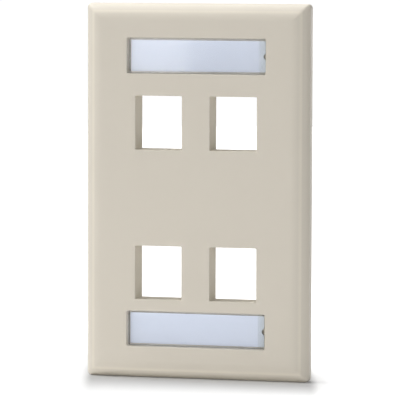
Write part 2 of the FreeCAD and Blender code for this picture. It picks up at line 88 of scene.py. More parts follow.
class NodeTree:
    """A short way to add and join nodes in a material, a world or a group."""

    def __init__(self, tree: bpy.types.NodeTree) -> None:
        """Keep the tree that nodes are added to."""
        self.tree = tree

    def add(self, kind: str, settings: dict[str, object] | None = None,
            inputs: dict[str | int, object] | None = None) -> bpy.types.Node:
        """Add one node.

        Args:
            kind: The node's type name.
            settings: Properties of the node itself.
            inputs: Values or output sockets for its input sockets.

        Returns:
            The new node.
        """
        node = self.tree.nodes.new(kind)
        for name, value in (settings or {}).items():
            setattr(node, name, value)
        for name, value in (inputs or {}).items():
            self.feed(node, name, value)
        return node

    def feed(self, node: bpy.types.Node, name: str | int, value: object) -> None:
        """Give an input socket a value, or link an output socket to it.

        Args:
            node: The node whose input is set.
            name: The input's name or number.
            value: The value, or the output socket to link.
        """
        if isinstance(value, bpy.types.NodeSocket):
            self.tree.links.new(value, node.inputs[name])
        else:
            node.inputs[name].default_value = value

    def mix(self, share: object, first: object, second: object) -> bpy.types.NodeSocket:
        """Mix two colours.

        Args:
            share: How much of the second colour shows, from 0 to 1.
            first: The first colour, or its socket.
            second: The second colour, or its socket.

        Returns:
            The mixed colour's socket.
        """
        node = self.add("ShaderNodeMix", {"data_type": "RGBA"}, {
            MIX_SHARE: share, MIX_FIRST: first, MIX_SECOND: second})
        return node.outputs[MIX_RESULT]


class SurfaceEffect(Enum):
    """The shader node groups that more than one finish uses."""

    TONE_DRIFT = "tone_drift"
    FINE_GRAIN = "fine_grain"
    SOFT_DUST = "soft_dust"
    WITHIN_BOX = "within_box"


@dataclass
class EffectShelf:
    """Builds each shared shader group once and hands it to the finishes."""

    drift_detail: float = 3.0
    drift_roughness: float = 0.55
    grain_detail: float = 4.0
    grain_roughness: float = 0.6
    broad_share: float = 0.06
    broad_detail: float = 2.0
    dust_slope: float = 0.45
    dust_scale: float = 160.0
    dust_detail: float = 5.0
    built: dict[SurfaceEffect, bpy.types.NodeTree] = field(default_factory=dict)

    def group(self, effect: SurfaceEffect) -> bpy.types.NodeTree:
        """Give the group of an effect, building it at its first use.

        Args:
            effect: Which effect.

        Returns:
            The shader node group.
        """
        if effect not in self.built:
            makers: dict[SurfaceEffect, Callable[[], bpy.types.NodeTree]] = {
                SurfaceEffect.TONE_DRIFT: self.make_tone_drift,
                SurfaceEffect.FINE_GRAIN: self.make_fine_grain,
                SurfaceEffect.SOFT_DUST: self.make_soft_dust,
                SurfaceEffect.WITHIN_BOX: self.make_within_box,
            }
            self.built[effect] = makers[effect]()
        return self.built[effect]

    def new_group(self, name: str, sockets: dict[str, str], results: dict[str, str]) -> NodeTree:
        """Start an empty group with its named inputs and outputs.

        Args:
            name: The group's name.
            sockets: Input names and their socket types.
            results: Output names and their socket types.

        Returns:
            The group's tree, ready for nodes.
        """
        tree = bpy.data.node_groups.new(name, "ShaderNodeTree")
        for title, kind in sockets.items():
            tree.interface.new_socket(name=title, in_out="INPUT", socket_type=kind)
        for title, kind in results.items():
            tree.interface.new_socket(name=title, in_out="OUTPUT", socket_type=kind)
        return NodeTree(tree)

    def make_tone_drift(self) -> bpy.types.NodeTree:
        """A colour that drifts a little lighter and darker over the piece.

        Returns:
            The shader node group.
        """
        nodes = self.new_group(
            SurfaceEffect.TONE_DRIFT.value,
            {"Color": "NodeSocketColor", "Amount": "NodeSocketFloat", "Scale": "NodeSocketFloat"},
            {"Color": "NodeSocketColor"})
        source = nodes.add("NodeGroupInput").outputs
        place = nodes.add("ShaderNodeTexCoord").outputs["Object"]
        noise = nodes.add("ShaderNodeTexNoise", inputs={
            "Vector": place, "Scale": source["Scale"], "Detail": self.drift_detail,
            "Roughness": self.drift_roughness})
        centred = nodes.add("ShaderNodeMath", {"operation": "SUBTRACT"},
                            {0: noise.outputs["Fac"], 1: 0.5})
        swing = nodes.add("ShaderNodeMath", {"operation": "MULTIPLY_ADD"},
                          {0: centred.outputs[0], 1: source["Amount"], 2: 1.0})
        shade = nodes.add("ShaderNodeHueSaturation", inputs={
            "Value": swing.outputs[0], "Color": source["Color"]})
        nodes.add("NodeGroupOutput", inputs={"Color": shade.outputs["Color"]})
        return nodes.tree

    def make_fine_grain(self) -> bpy.types.NodeTree:
        """The fine unevenness of a surface, as a height and a roughness.

        Returns:
            The shader node group.
        """
        nodes = self.new_group(
            SurfaceEffect.FINE_GRAIN.value,
            {"Scale": "NodeSocketFloat", "Roughness": "NodeSocketFloat",
             "Spread": "NodeSocketFloat"},
            {"Height": "NodeSocketFloat", "Roughness": "NodeSocketFloat"})
        source = nodes.add("NodeGroupInput").outputs
        place = nodes.add("ShaderNodeTexCoord").outputs["Object"]
        grain = nodes.add("ShaderNodeTexNoise", inputs={
            "Vector": place, "Scale": source["Scale"], "Detail": self.grain_detail,
            "Roughness": self.grain_roughness})
        broad_scale = nodes.add("ShaderNodeMath", {"operation": "MULTIPLY"},
                                {0: source["Scale"], 1: self.broad_share})
        broad = nodes.add("ShaderNodeTexNoise", inputs={
            "Vector": place, "Scale": broad_scale.outputs[0], "Detail": self.broad_detail})
        centred = nodes.add("ShaderNodeMath", {"operation": "SUBTRACT"},
                            {0: broad.outputs["Fac"], 1: 0.5})
        rough = nodes.add("ShaderNodeMath", {"operation": "MULTIPLY_ADD", "use_clamp": True},
                          {0: centred.outputs[0], 1: source["Spread"], 2: source["Roughness"]})
        nodes.add("NodeGroupOutput", inputs={
            "Height": grain.outputs["Fac"], "Roughness": rough.outputs[0]})
        return nodes.tree

    def make_soft_dust(self) -> bpy.types.NodeTree:
        """A thin veil of dust that settles on faces that look upwards.

        Returns:
            The shader node group.
        """
        nodes = self.new_group(
            SurfaceEffect.SOFT_DUST.value,
            {"Color": "NodeSocketColor", "Dust": "NodeSocketColor", "Amount": "NodeSocketFloat"},
            {"Color": "NodeSocketColor", "Mask": "NodeSocketFloat"})
        source = nodes.add("NodeGroupInput").outputs
        space = nodes.add("ShaderNodeTexCoord").outputs
        split = nodes.add("ShaderNodeSeparateXYZ", inputs={0: space["Normal"]})
        upward = nodes.add("ShaderNodeMapRange", inputs={
            "Value": split.outputs["Z"], "From Min": self.dust_slope, "From Max": 1.0})
        patches = nodes.add("ShaderNodeTexNoise", inputs={
            "Vector": space["Object"], "Scale": self.dust_scale, "Detail": self.dust_detail})
        veil = nodes.add("ShaderNodeMath", {"operation": "MULTIPLY"},
                         {0: upward.outputs["Result"], 1: patches.outputs["Fac"]})
        mask = nodes.add("ShaderNodeMath", {"operation": "MULTIPLY", "use_clamp": True},
                         {0: veil.outputs[0], 1: source["Amount"]})
        dusty = nodes.mix(mask.outputs[0], source["Color"], source["Dust"])
        nodes.add("NodeGroupOutput", inputs={"Color": dusty, "Mask": mask.outputs[0]})
        return nodes.tree

    def make_within_box(self) -> bpy.types.NodeTree:
        """One inside a box about a middle, nought outside, with a narrow soft edge.

        Returns:
            The shader node group.
        """
        nodes = self.new_group(
            SurfaceEffect.WITHIN_BOX.value,
            {"Middle": "NodeSocketVector", "Half": "NodeSocketVector", "Edge": "NodeSocketFloat"},
            {"Mask": "NodeSocketFloat"})
        source = nodes.add("NodeGroupInput").outputs
        place = nodes.add("ShaderNodeTexCoord").outputs["Object"]
        offset = nodes.add("ShaderNodeVectorMath", {"operation": "SUBTRACT"},
                           {0: place, 1: source["Middle"]})
        reach = nodes.add("ShaderNodeVectorMath", {"operation": "ABSOLUTE"}, {0: offset.outputs[0]})
        room = nodes.add("ShaderNodeVectorMath", {"operation": "SUBTRACT"},
                         {0: source["Half"], 1: reach.outputs[0]})
        split = nodes.add("ShaderNodeSeparateXYZ", inputs={0: room.outputs[0]}).outputs
        flat = nodes.add("ShaderNodeMath", {"operation": "MINIMUM"}, {0: split["X"], 1: split["Z"]})
        least = nodes.add("ShaderNodeMath", {"operation": "MINIMUM"},
                          {0: flat.outputs[0], 1: split["Y"]})
        mask = nodes.add("ShaderNodeMapRange", inputs={
            "Value": least.outputs[0], "From Min": 0.0, "From Max": source["Edge"]})
        nodes.add("NodeGroupOutput", inputs={"Mask": mask.outputs["Result"]})
        return nodes.tree


EFFECTS = EffectShelf()


class MaterialSheet(NodeTree):
    """One new material with the nodes that every finish here starts from."""

    def __init__(self, name: str) -> None:
        """Make the material and empty its node tree.

        Args:
            name: The material's name.
        """
        self.material = bpy.data.materials.new(name)
        self.material.use_nodes = True
        self.material.node_tree.nodes.clear()
        super().__init__(self.material.node_tree)
        self.output = self.add("ShaderNodeOutputMaterial")

    def effect(self, effect: SurfaceEffect, inputs: dict[str | int, object]) -> bpy.types.Node:
        """Place a shared effect with this finish's own values.

        Args:
            effect: Which shared group.
            inputs: Its input values or links.

        Returns:
            The group node.
        """
        node = self.add("ShaderNodeGroup", {"node_tree": EFFECTS.group(effect)})
        for name, value in inputs.items():
            self.feed(node, name, value)
        return node

    def bump(self, height: object, strength: float, distance: float) -> object:
        """Turn a height into a normal.

        Args:
            height: The socket that gives the height.
            strength: How much of the bump shows.
            distance: The height of a full step, in metres.

        Returns:
            The normal's socket.
        """
        node = self.add("ShaderNodeBump", inputs={
            "Height": height, "Strength": strength, "Distance": distance})
        return node.outputs["Normal"]

    def show(self, shader: object) -> bpy.types.Material:
        """Send a shader to the output and give the material back."""
        self.feed(self.output, "Surface", shader)
        return self.material


@dataclass(frozen=True)
class IvoryPlastic:
    """Light-ivory moulded plastic: a satin show face and a matt core side, whose colour is painted
    paler as painted light.
    """

    name: str = "ivory_plastic"
    colour: Colour = srgb(212, 205, 192)
    # Paler colour behind the face plane: painted light that lifts the port walls, trays and back.
    core_painted_light_colour: Colour = srgb(221, 214, 200)
    dust: Colour = srgb(220, 216, 208)
    roughness: float = 0.48
    roughness_spread: float = 0.1
    ior: float = 1.5
    specular: float = 0.25
    drift_amount: float = 0.035
    drift_scale: float = 38.0
    dust_amount: float = 0.12
    grain_scale: float = 2600.0
    grain_strength: float = 0.35
    grain_height: float = 0.006 * MM
    core_middle: tuple[float, float, float] = (0.0, 4.6 * MM, 0.0)
    core_half: tuple[float, float, float] = (33.0 * MM, 10.0 * MM, 55.2 * MM)
    core_edge: float = 0.3 * MM
    core_roughness: float = 0.45

    def build(self) -> bpy.types.Material:
        """Make the material.

        Returns:
            The material.
        """
        sheet = MaterialSheet(self.name)
        core = sheet.effect(SurfaceEffect.WITHIN_BOX, {
            "Middle": self.core_middle, "Half": self.core_half, "Edge": self.core_edge})
        matt = sheet.add("ShaderNodeMath", {"operation": "MULTIPLY_ADD"}, {
            0: core.outputs["Mask"], 1: self.core_roughness, 2: self.roughness})
        # Painted light: the core side takes the paler colour.
        tone = sheet.mix(core.outputs["Mask"], self.colour, self.core_painted_light_colour)
        drift = sheet.effect(SurfaceEffect.TONE_DRIFT, {
            "Color": tone, "Amount": self.drift_amount, "Scale": self.drift_scale})
        dusty = sheet.effect(SurfaceEffect.SOFT_DUST, {
            "Color": drift.outputs["Color"], "Dust": self.dust, "Amount": self.dust_amount})
        grain = sheet.effect(SurfaceEffect.FINE_GRAIN, {
            "Scale": self.grain_scale, "Roughness": matt.outputs[0],
            "Spread": self.roughness_spread})
        normal = sheet.bump(grain.outputs["Height"], self.grain_strength, self.grain_height)
        shader = sheet.add("ShaderNodeBsdfPrincipled", inputs={
            "Base Color": dusty.outputs["Color"],
            "Roughness": grain.outputs["Roughness"],
            "IOR": self.ior, "Specular IOR Level": self.specular,
            "Normal": normal})
        return sheet.show(shader.outputs[0])


@dataclass(frozen=True)
class ClearPlastic:
    """Clear polished plastic, rougher at the end with the pry notch, where its colour is darkened
    as painted shade.
    """

    name: str = "clear_plastic"
    colour: Colour = srgb(251, 252, 255)
    # Darker tint at the notch end: painted shade.
    end_painted_shade: Colour = srgb(236, 238, 234)
    notch_end_middle: tuple[float, float, float] = (24.6 * MM, 0.0, 0.0)
    notch_end_half: tuple[float, float, float] = (5.9 * MM, 20.0 * MM, 60.0 * MM)
    notch_end_edge: float = 1.6 * MM
    haze_roughness: float = 0.12
    roughness: float = 0.05
    roughness_spread: float = 0.05
    ior: float = 1.49
    drift_amount: float = 0.02
    drift_scale: float = 55.0
    grain_scale: float = 900.0
    grain_strength: float = 0.08
    grain_height: float = 0.002 * MM

    def build(self) -> bpy.types.Material:
        """Make the material.

        Returns:
            The material.
        """
        sheet = MaterialSheet(self.name)
        rough_shaded_end = sheet.effect(SurfaceEffect.WITHIN_BOX, {
            "Middle": self.notch_end_middle, "Half": self.notch_end_half, "Edge": self.notch_end_edge})
        # Painted shade: the notch end takes the darker tint.
        tone = sheet.mix(rough_shaded_end.outputs["Mask"], self.colour, self.end_painted_shade)
        tint = sheet.effect(SurfaceEffect.TONE_DRIFT, {
            "Color": tone, "Amount": self.drift_amount, "Scale": self.drift_scale})
        matt = sheet.add("ShaderNodeMath", {"operation": "MULTIPLY_ADD"}, {
            0: rough_shaded_end.outputs["Mask"], 1: self.haze_roughness, 2: self.roughness})
        grain = sheet.effect(SurfaceEffect.FINE_GRAIN, {
            "Scale": self.grain_scale, "Roughness": matt.outputs[0],
            "Spread": self.roughness_spread})
        normal = sheet.bump(grain.outputs["Height"], self.grain_strength, self.grain_height)
        glass = sheet.add("ShaderNodeBsdfPrincipled", inputs={
            "Base Color": tint.outputs["Color"],
            "Roughness": grain.outputs["Roughness"],
            "IOR": self.ior, "Transmission Weight": 1.0,
            "Normal": normal})
        clear = sheet.add("ShaderNodeBsdfTransparent", inputs={"Color": self.colour})
        rays = sheet.add("ShaderNodeLightPath").outputs
        bounced = sheet.add("ShaderNodeMixShader", inputs={
            0: rays["Is Diffuse Ray"], 1: glass.outputs[0], 2: clear.outputs[0]})
        shadowed = sheet.add("ShaderNodeMixShader", inputs={
            0: rays["Is Shadow Ray"], 1: bounced.outputs[0], 2: clear.outputs[0]})
        return sheet.show(shadowed.outputs[0])


@dataclass(frozen=True)
class LabelPaper:
    """Smooth cool-white label paper with short fibres."""

    name: str = "label_paper"
    colour: Colour = srgb(217, 225, 237)
    roughness: float = 0.78
    roughness_spread: float = 0.12
    drift_amount: float = 0.03
    drift_scale: float = 420.0
    fibre_scale: float = 5200.0
    fibre_strength: float = 0.4
    fibre_height: float = 0.01 * MM

    def build(self) -> bpy.types.Material:
        """Make the material.

        Returns:
            The material.
        """
        sheet = MaterialSheet(self.name)
        drift = sheet.effect(SurfaceEffect.TONE_DRIFT, {
            "Color": self.colour, "Amount": self.drift_amount, "Scale": self.drift_scale})
        fibre = sheet.effect(SurfaceEffect.FINE_GRAIN, {
            "Scale": self.fibre_scale, "Roughness": self.roughness,
            "Spread": self.roughness_spread})
        normal = sheet.bump(fibre.outputs["Height"], self.fibre_strength, self.fibre_height)
        shader = sheet.add("ShaderNodeBsdfPrincipled", inputs={
            "Base Color": drift.outputs["Color"],
            "Roughness": fibre.outputs["Roughness"],
            "Normal": normal})
        return sheet.show(shader.outputs[0])


@dataclass(frozen=True)
class PlatedSteel:
    """Zinc-plated steel, with a head painted to match the plate."""

    name: str = "plated_steel"
    zinc: Colour = srgb(172, 174, 173)
    paint: Colour = srgb(212, 205, 192)
    roughness: float = 0.3
    roughness_spread: float = 0.2
    head_end: float = 0.0
    paint_edge: float = 0.1 * MM
    drift_amount: float = 0.12
    drift_scale: float = 500.0
    grain_scale: float = 3200.0
    grain_strength: float = 0.3
    grain_height: float = 0.008 * MM

    def build(self) -> bpy.types.Material:
        """Make the material.

        Returns:
            The material.
        """
        sheet = MaterialSheet(self.name)
        place = sheet.add("ShaderNodeTexCoord").outputs["Object"]
        depth = sheet.add("ShaderNodeSeparateXYZ", inputs={0: place}).outputs["Y"]
        painted = sheet.add("ShaderNodeMapRange", inputs={
            "Value": depth, "From Min": self.head_end,
            "From Max": self.head_end + self.paint_edge,
            "To Min": 1.0, "To Max": 0.0}).outputs["Result"]
        coat = sheet.mix(painted, self.zinc, self.paint)
        drift = sheet.effect(SurfaceEffect.TONE_DRIFT, {
            "Color": coat, "Amount": self.drift_amount, "Scale": self.drift_scale})
        grain = sheet.effect(SurfaceEffect.FINE_GRAIN, {
            "Scale": self.grain_scale, "Roughness": self.roughness,
            "Spread": self.roughness_spread})
        normal = sheet.bump(grain.outputs["Height"], self.grain_strength, self.grain_height)
        metal = sheet.add("ShaderNodeMath", {"operation": "SUBTRACT"}, {0: 1.0, 1: painted})
        shader = sheet.add("ShaderNodeBsdfPrincipled", inputs={
            "Base Color": drift.outputs["Color"],
            "Metallic": metal.outputs[0],
            "Roughness": grain.outputs["Roughness"],
            "Normal": normal})
        return sheet.show(shader.outputs[0])


def new_object(name: str, mesh: bpy.types.Mesh, material: bpy.types.Material) -> bpy.types.Object:
    """Put a mesh in the scene with its material.

    Args:
        name: The piece's name.
        mesh: Its mesh, already in place.
        material: Its only material.

    Returns:
        The object, at the origin.
    """
    mesh.materials.clear()
    mesh.materials.append(material)
    piece = bpy.data.objects.new(name, mesh)
    bpy.context.scene.collection.objects.link(piece)
    return piece


def mesh_from(shape: bmesh.types.BMesh, name: str, sharp: float) -> bpy.types.Mesh:
    """Finish a bmesh: smooth faces, with sharp edges past an angle.

    Args:
        shape: The finished shape, which is freed.
        name: The mesh's name.
        sharp: The angle between faces, in degrees, past which an edge stays sharp.

    Returns:
        The mesh.
    """
    for face in shape.faces:
        face.smooth = True
    for edge in shape.edges:
        angle = edge.calc_face_angle(math.pi)
        edge.smooth = angle < math.radians(sharp)
    mesh = bpy.data.meshes.new(name)
    shape.to_mesh(mesh)
    shape.free()
    if "custom_normal" in mesh.attributes:
        mesh.attributes.remove(mesh.attributes["custom_normal"])
    return mesh


def welded(node: str) -> bmesh.types.BMesh:
    """A copy of a CAD node's mesh with its loose triangles joined.

    Args:
        node: The node's name.

    Returns:
        The joined shape.
    """
    shape = bmesh.new()
    shape.from_mesh(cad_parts[node].data)
    bmesh.ops.remove_doubles(shape, verts=shape.verts, dist=WELD_DISTANCE)
    return shape


def even_normals(piece: bpy.types.Object) -> None:
    """Weight a piece's normals by face area, so that flat faces stay flat.

    Args:
        piece: The piece.
    """
    weights = piece.modifiers.new("EvenNormals", "WEIGHTED_NORMAL")
    weights.keep_sharp = True
    weights.weight = FLAT_FACE_WEIGHT


@dataclass
class Moulding:
    """The one-piece faceplate and the marks that its mould leaves behind it."""

    sharp_angle: float = 32.0
    mark_radius: float = 2.2 * MM
    mark_height: float = 0.12 * MM
    mark_taper: float = 0.97
    mark_steps: int = 40
    side_share: float = 0.39
    end_share: float = 0.365
    inner_share: float = 0.17
    side_level: float = -2.0 * MM
    inner_level: float = 0.6 * MM
    skin: float = 2.0 * MM
    pieces: list[bpy.types.Object] = field(default_factory=list)

    def build(self, plastic: bpy.types.Material) -> None:
        """Build the smooth moulding and its ejector marks.

        Args:
            plastic: The ivory plastic.
        """
        shape = mesh_from(welded("faceplate"), "moulded_faceplate", self.sharp_angle)
        plate = new_object("moulded_faceplate", shape, plastic)
        even_normals(plate)
        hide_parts("faceplate")
        marks = new_object("ejector_marks", self.make_marks(), plastic)
        for piece in (plate, marks):
            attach(piece, "plate")
            self.pieces.append(piece)

    def mark_places(self) -> list[tuple[float, float]]:
        """Where the mould's ejector pins pressed: beside the trays and between the rows.

        Returns:
            The places across the width and up the height.
        """
        low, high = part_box("faceplate")
        across = (high.x - low.x) * self.side_share
        up = (high.z - low.z) * self.end_share
        inner = (high.x - low.x) * self.inner_share
        levels = (-up, self.side_level, up)
        sides = [(sign * across, level) for sign in (-1, 1) for level in levels]
        return sides + [(-inner, self.inner_level), (inner, self.inner_level)]

    def make_marks(self) -> bpy.types.Mesh:
        """Low round discs on the back of the face, each with a softened edge.

        Returns:
            The mesh.
        """
        low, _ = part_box("faceplate")
        floor = low.y + self.skin
        shape = bmesh.new()
        for across, up in self.mark_places():
            place = Matrix.Translation((across, floor, up)) @ Matrix.Rotation(-math.pi / 2, 4, "X")
            bmesh.ops.create_cone(
                shape, cap_ends=True, segments=self.mark_steps, radius1=self.mark_radius,
                radius2=self.mark_radius * self.mark_taper, depth=self.mark_height * 2,
                matrix=place)
        return mesh_from(shape, "ejector_marks", self.sharp_angle)


@dataclass
class LabelWindow:
    """One clear label cover with the paper label that it holds."""

    end: End
    edge_round: float = 0.07 * MM
    sheet_thickness: float = 0.12 * MM
    face_gap: float = 0.025 * MM
    ripple: float = 0.008 * MM
    notch_radius: float = 1.05 * MM
    notch_draw: float = 4.0 * MM
    flat_angle: float = 0.5
    corner_angle: float = 60.0
    cover_sharp: float = 35.0
    sheet_sharp: float = 50.0
    sheet_cells: tuple[int, int] = (84, 36)
    long_wave: float = 310.0
    slant_wave: tuple[float, float] = (140.0, 500.0)
    pieces: list[bpy.types.Object] = field(default_factory=list)

    def build(self, clear: bpy.types.Material, paper: bpy.types.Material) -> None:
        """Build the cover and its label.

        Args:
            clear: The clear plastic.
            paper: The label paper.
        """
        name = self.end.value
        body = f"{name}_cover"
        cover = new_object(f"{name}_clear_cover", self.make_cover(), clear)
        even_normals(cover)
        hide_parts(f"{name}_label_cover")
        label = new_object(f"{name}_label_sheet", self.make_sheet(), paper)
        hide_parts(f"{name}_paper_label")
        for piece in (cover, label):
            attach(piece, body)
            self.pieces.append(piece)

    def make_cover(self) -> bpy.types.Mesh:
        """The cover's own form with its outer edges slightly rounded.

        Returns:
            The mesh.
        """
        shape = welded(f"{self.end.value}_label_cover")
        bmesh.ops.dissolve_limit(shape, angle_limit=math.radians(self.flat_angle),
                                 verts=shape.verts, edges=shape.edges)
        corner = math.radians(self.corner_angle)
        edges = [edge for edge in shape.edges
                 if edge.is_manifold and edge.calc_face_angle_signed() > corner]
        bmesh.ops.bevel(shape, geom=edges, offset=self.edge_round, segments=2, profile=0.5,
                        affect="EDGES", clamp_overlap=True, material=-1)
        bmesh.ops.triangulate(shape, faces=shape.faces)
        return mesh_from(shape, f"{self.end.value}_clear_cover", self.cover_sharp)

    def make_sheet(self) -> bpy.types.Mesh:
        """A thin sheet that ripples very slightly.

        Returns:
            The mesh.
        """
        low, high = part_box(f"{self.end.value}_paper_label")
        middle = (low + high) / 2
        shape = bmesh.new()
        turn = Matrix.Rotation(math.pi / 2, 4, "X")
        place = Matrix.Translation((middle.x, low.y + self.face_gap, middle.z)) @ turn
        along, up = self.sheet_cells
        bmesh.ops.create_grid(shape, x_segments=along, y_segments=up, size=0.5, matrix=Matrix())
        bmesh.ops.scale(shape, vec=(high.x - low.x, high.z - low.z, 1.0), verts=shape.verts)
        self.cut_notch(shape, (high.x - low.x) / 2)
        slant_x, slant_y = self.slant_wave
        for vert in shape.verts:
            slant = math.sin(vert.co.x * slant_x + vert.co.y * slant_y)
            wave = math.sin(vert.co.x * self.long_wave) + slant
            vert.co.z = wave * self.ripple / 2
        bmesh.ops.transform(shape, matrix=place, verts=shape.verts)
        faces = list(shape.faces)
        bmesh.ops.recalc_face_normals(shape, faces=faces)
        if faces[0].normal.y > 0:
            bmesh.ops.reverse_faces(shape, faces=faces)
        bmesh.ops.solidify(shape, geom=faces, thickness=self.sheet_thickness)
        bmesh.ops.recalc_face_normals(shape, faces=shape.faces)
        return mesh_from(shape, f"{self.end.value}_label_sheet", self.sheet_sharp)

    def cut_notch(self, shape: bmesh.types.BMesh, half_width: float) -> None:
        """Draw the sheet's end back in a half round behind the cover's pry notch.

        Args:
            shape: The flat sheet, centred, with its length along X.
            half_width: Half of the sheet's length.
        """
        _, cover_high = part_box(f"{self.end.value}_label_cover")
        _, label_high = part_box(f"{self.end.value}_paper_label")
        short = cover_high.x - label_high.x
        for vert in shape.verts:
            reach = math.sqrt(max(0.0, self.notch_radius ** 2 - vert.co.y ** 2)) - short
            fade = 1.0 - (half_width - vert.co.x) / self.notch_draw
            vert.co.x -= max(0.0, reach) * max(0.0, fade)


@dataclass
class WallScrew:
    """One oval-head wall screw with a rolled thread."""

    end: End
    pitch: float = 0.794 * MM
    outer: float = 1.75 * MM
    neck: float = 0.5 * MM
    core_share: float = 0.8
    root_share: float = 0.97
    flank_share: float = 0.42
    crest_share: float = 0.16
    steps_a_turn: int = 28
    sharp_angle: float = 34.0
    pieces: list[bpy.types.Object] = field(default_factory=list)

    def build(self, steel: bpy.types.Material) -> None:
        """Build the screw.

        Args:
            steel: The plated steel.
        """
        node = f"{self.end.value}_mounting_screw"
        piece = new_object(f"{self.end.value}_wall_screw", self.make_screw(node), steel)
        even_normals(piece)
        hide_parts(node)
        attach(piece, "plate")
        self.pieces.append(piece)

    def make_screw(self, node: str) -> bpy.types.Mesh:
        """The CAD screw's head on a slimmer core, with a helical thread ridge.

        Args:
            node: The CAD node of this screw.

        Returns:
            The mesh.
        """
        low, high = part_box(node)
        axis = Vector(((low.x + high.x) / 2, 0.0, (low.z + high.z) / 2))
        shape = welded(node)
        shank = [vert for vert in shape.verts if vert.co.y > self.neck]
        move = Matrix.Translation(-axis)
        bmesh.ops.scale(shape, vec=(self.core_share, 1.0, self.core_share), verts=shank, space=move)
        self.add_thread(shape, axis, self.neck + self.pitch, high.y - self.pitch)
        return mesh_from(shape, f"{self.end.value}_wall_screw", self.sharp_angle)

    def add_thread(self, shape: bmesh.types.BMesh, axis: Vector, start: float,
                   stop: float) -> None:
        """Add the ridge of the thread, which runs out at both ends.

        Args:
            shape: The screw so far.
            axis: A point on the screw's axis.
            start: Where the ridge starts along Y.
            stop: Where the ridge stops along Y.
        """
        turns = int((stop - start) / self.pitch)
        root = self.outer * self.core_share * self.root_share
        half = self.pitch * self.flank_share
        crest = half * self.crest_share
        corners = [(root, -half), (self.outer, -crest), (self.outer, crest), (root, half)]
        verts = [shape.verts.new(axis + Vector((radius, start + along, 0.0)))
                 for radius, along in corners]
        tooth = shape.faces.new(verts)
        steps = turns * self.steps_a_turn
        made = bmesh.ops.spin(
            shape, geom=[tooth, *verts], cent=axis, axis=(0.0, 1.0, 0.0),
            dvec=(0.0, self.pitch / self.steps_a_turn, 0.0), angle=math.tau * turns,
            steps=steps, use_merge=False, use_duplicate=False)
        tip = [item for item in made["geom_last"] if isinstance(item, bmesh.types.BMVert)]
        ridge = self.linked(tip[0])
        for vert in ridge:
            away = vert.co - axis
            reach = math.hypot(away.x, away.z)
            along = min(vert.co.y - start + half, stop - vert.co.y + half)
            share = max(0.0, min(1.0, along / self.pitch))
            wanted = root + (reach - root) * share
            vert.co.x = axis.x + away.x * wanted / reach
            vert.co.z = axis.z + away.z * wanted / reach
        bmesh.ops.recalc_face_normals(shape, faces=list({f for v in ridge for f in v.link_faces}))

    @staticmethod
    def linked(first: bmesh.types.BMVert) -> list[bmesh.types.BMVert]:
        """Every vertex that is joined to the first one by edges.

        Args:
            first: The vertex to start from.

        Returns:
            The joined vertices, with the first one.
        """
        found, todo = {first}, [first]
        while todo:
            for edge in todo.pop().link_edges:
                for vert in edge.verts:
                    if vert not in found:
                        found.add(vert)
                        todo.append(vert)
        return list(found)


@dataclass(frozen=True)
class FloorGlow:
    """Light that the floor adds for the camera, rising with the distance from the plate."""

    start: float
    full: float
    strength: float


@dataclass(frozen=True)
class Softbox:
    """One rectangular studio lamp."""

    name: str
    place: tuple[float, float, float]
    aim: tuple[float, float, float]
    width: float
    height: float
    watts: float

    def build(self) -> None:
        """Put the lamp in the scene, turned towards its aim."""
        lamp = bpy.data.lights.new(self.name, "AREA")
        lamp.shape = "RECTANGLE"
        lamp.size, lamp.size_y = self.width, self.height
        lamp.energy = self.watts
        holder = bpy.data.objects.new(self.name, lamp)
        holder.location = self.place
        line = Vector(self.aim) - Vector(self.place)
        holder.rotation_euler = line.to_track_quat("-Z", "Y").to_euler()
        bpy.context.scene.collection.objects.link(holder)


